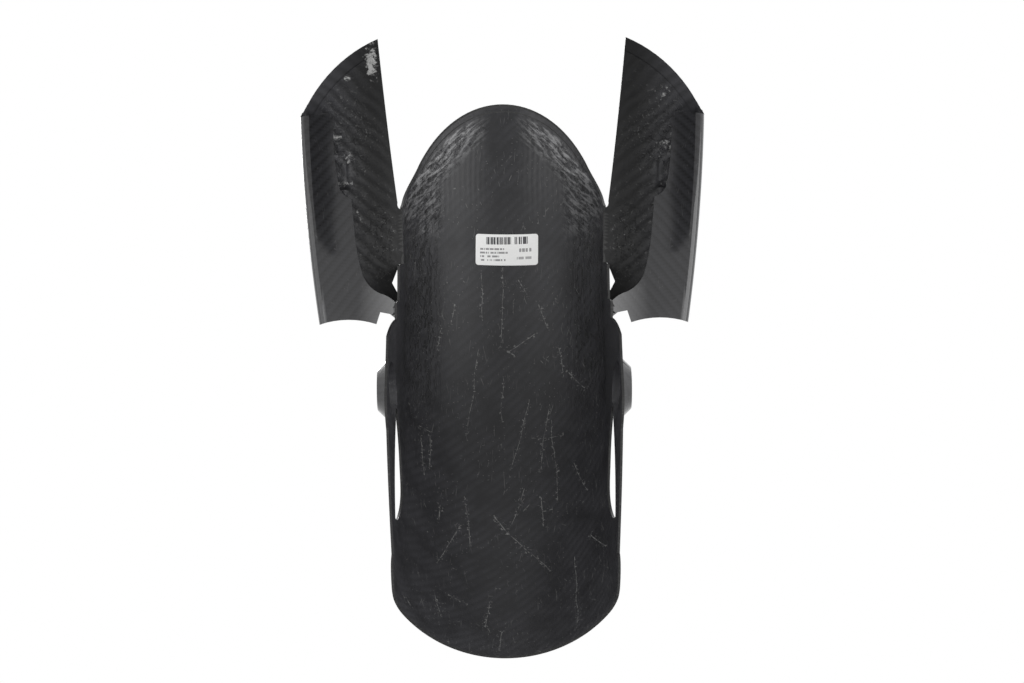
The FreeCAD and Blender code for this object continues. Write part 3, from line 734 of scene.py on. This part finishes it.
# The studio: a pale floor well below, a white surround and three soft lamps.
# Two black flags and two bright cards beside the camera are seen only where the gloss mirrors them.
FLOOR_BELOW = -1.9
bpy.ops.object.select_all(action="DESELECT")
bpy.ops.mesh.primitive_plane_add(size=80.0, location=(0, 0, FLOOR_BELOW))
floor = bpy.context.object
floor.name = "studio_floor"
pale, tree, face = new_finish("pale_floor")
face.inputs["Base Color"].default_value = (0.85, 0.85, 0.85, 1)
face.inputs["Roughness"].default_value = 0.8
floor.data.materials.append(pale)

world = bpy.data.worlds.new("studio")
scene.world = world
world.use_nodes = True
tree = world.node_tree
path = put(tree, "ShaderNodeLightPath")
seen = calc(tree, "MAXIMUM", path.outputs["Is Camera Ray"], path.outputs["Is Glossy Ray"])
seen = calc(tree, "MAXIMUM", seen, path.outputs["Is Transmission Ray"])
tree.links.new(blend(tree, seen, 0.9, 1.0), tree.nodes["Background"].inputs["Strength"])
tree.nodes["Background"].inputs["Color"].default_value = (1, 1, 1, 1)

LAMPS = (
    ("right_softbox", (1.3, -0.2, -0.6), 1.4, 17.0),
    ("top_softbox", (-0.7, -0.9, 1.5), 0.8, 16.0),
    ("left_softbox", (-1.3, -0.2, -0.6), 1.4, 8.0),
)
LAMP_AIM = (0, -0.05, 0.05)
for name, where, size, watts in LAMPS:
    lamp = bpy.data.objects.new(name, bpy.data.lights.new(name, "AREA"))
    scene.collection.objects.link(lamp)
    lamp.data.size = size
    lamp.data.energy = watts
    lamp.location = where
    aim = Vector(LAMP_AIM) - Vector(where)
    lamp.rotation_euler = aim.to_track_quat("-Z", "Y").to_euler()

FLAG_OUTLINE = (
    (117.0, 20.0), (126.0, -15.0), (132.0, 205.0), (210.0, 330.0),
    (210.0, 1350.0), (60.0, 1350.0), (80.0, 440.0),
)
FLAG_BELOW = -1000.0
black, tree, face = new_finish("black_flag")
face.inputs["Base Color"].default_value = (0.01, 0.01, 0.01, 1)
face.inputs["Roughness"].default_value = 0.9


def stand_sheet(name, corners, material):
    """A flat studio sheet through the given mould points, seen only in reflections."""
    flat = bpy.data.meshes.new(name)
    places = [tuple(corner) for corner in from_mould(np.array(corners))]
    flat.from_pydata(places, [], [tuple(range(len(corners)))])
    flat.materials.append(material)
    stood = bpy.data.objects.new(name, flat)
    scene.collection.objects.link(stood)
    stood.visible_camera = False
    stood.visible_diffuse = False
    stood.visible_shadow = False
    return stood


for way in (-1, 1):
    flag = stand_sheet("studio_flag", [(way * x, y, FLAG_BELOW) for x, y in FLAG_OUTLINE], black)

# Two bright cards, seen only in the gloss, give the curled roots of the return walls their shine.
CARD_AWAY = 1300.0
CARD_TURN = math.radians(26.0)
CARD_LEAN = math.radians(22.0)
CARD_HALF = (480.0, 200.0)
CARD_GLOW = (1.0, 4.0)
ROOT_SPOT = (75.0, 84.0, 222.0)
glow, tree, face = new_finish("bright_card")
tree.nodes.remove(face)
level = put(tree, "ShaderNodeAttribute", attribute_name="glow").outputs["Fac"]
shining = put(tree, "ShaderNodeEmission", {"Strength": level})
tree.links.new(shining.outputs[0], tree.nodes["Material Output"].inputs["Surface"])
toward = Vector((math.sin(CARD_TURN) * math.cos(CARD_LEAN), -math.sin(CARD_LEAN),
                 -math.cos(CARD_TURN) * math.cos(CARD_LEAN)))
outward = Vector((math.cos(CARD_TURN), 0, math.sin(CARD_TURN)))
upward = toward.cross(outward)
card_middle = Vector(ROOT_SPOT) + toward * CARD_AWAY
for way in (-1, 1):
    corners = []
    for out, up in ((-1, -1), (1, -1), (1, 1), (-1, 1)):
        spot = card_middle + outward * (out * CARD_HALF[0]) + upward * (up * CARD_HALF[1])
        corners.append((way * spot.x, spot.y, spot.z))
    card = stand_sheet("studio_card", corners, glow)
    levels = (CARD_GLOW[0], CARD_GLOW[1], CARD_GLOW[1], CARD_GLOW[0])
    card.data.attributes.new("glow", "FLOAT", "POINT").data.foreach_set("value", levels)

# The camera looks up the draw line from below, into the wheel side.
# Its lens is shifted aside and it is rolled a little, as in the picture.
CAMERA_BACK = 107.0
CAMERA_BELOW = 1182.0
CAMERA_LENS = 75.3
CAMERA_SHIFT = 8.0 / 1024
CAMERA_ROLL = math.radians(-0.45)
camera = bpy.data.objects.new("camera", bpy.data.cameras.new("camera"))
scene.collection.objects.link(camera)
eye = from_mould(np.array([[0.0, CAMERA_BACK, -CAMERA_BELOW]]))[0]
looking = Vector((0, -math.sin(DRAW_TILT), math.cos(DRAW_TILT)))
upward = Vector((0, -math.cos(DRAW_TILT), -math.sin(DRAW_TILT)))
frame_axes = Matrix((looking.cross(upward), upward, -looking)).transposed()
frame_axes = frame_axes @ Matrix.Rotation(CAMERA_ROLL, 3, "Z")
camera.matrix_world = Matrix.Translation(Vector(eye)) @ frame_axes.to_4x4()
camera.data.lens = CAMERA_LENS
camera.data.shift_x = CAMERA_SHIFT
scene.camera = camera
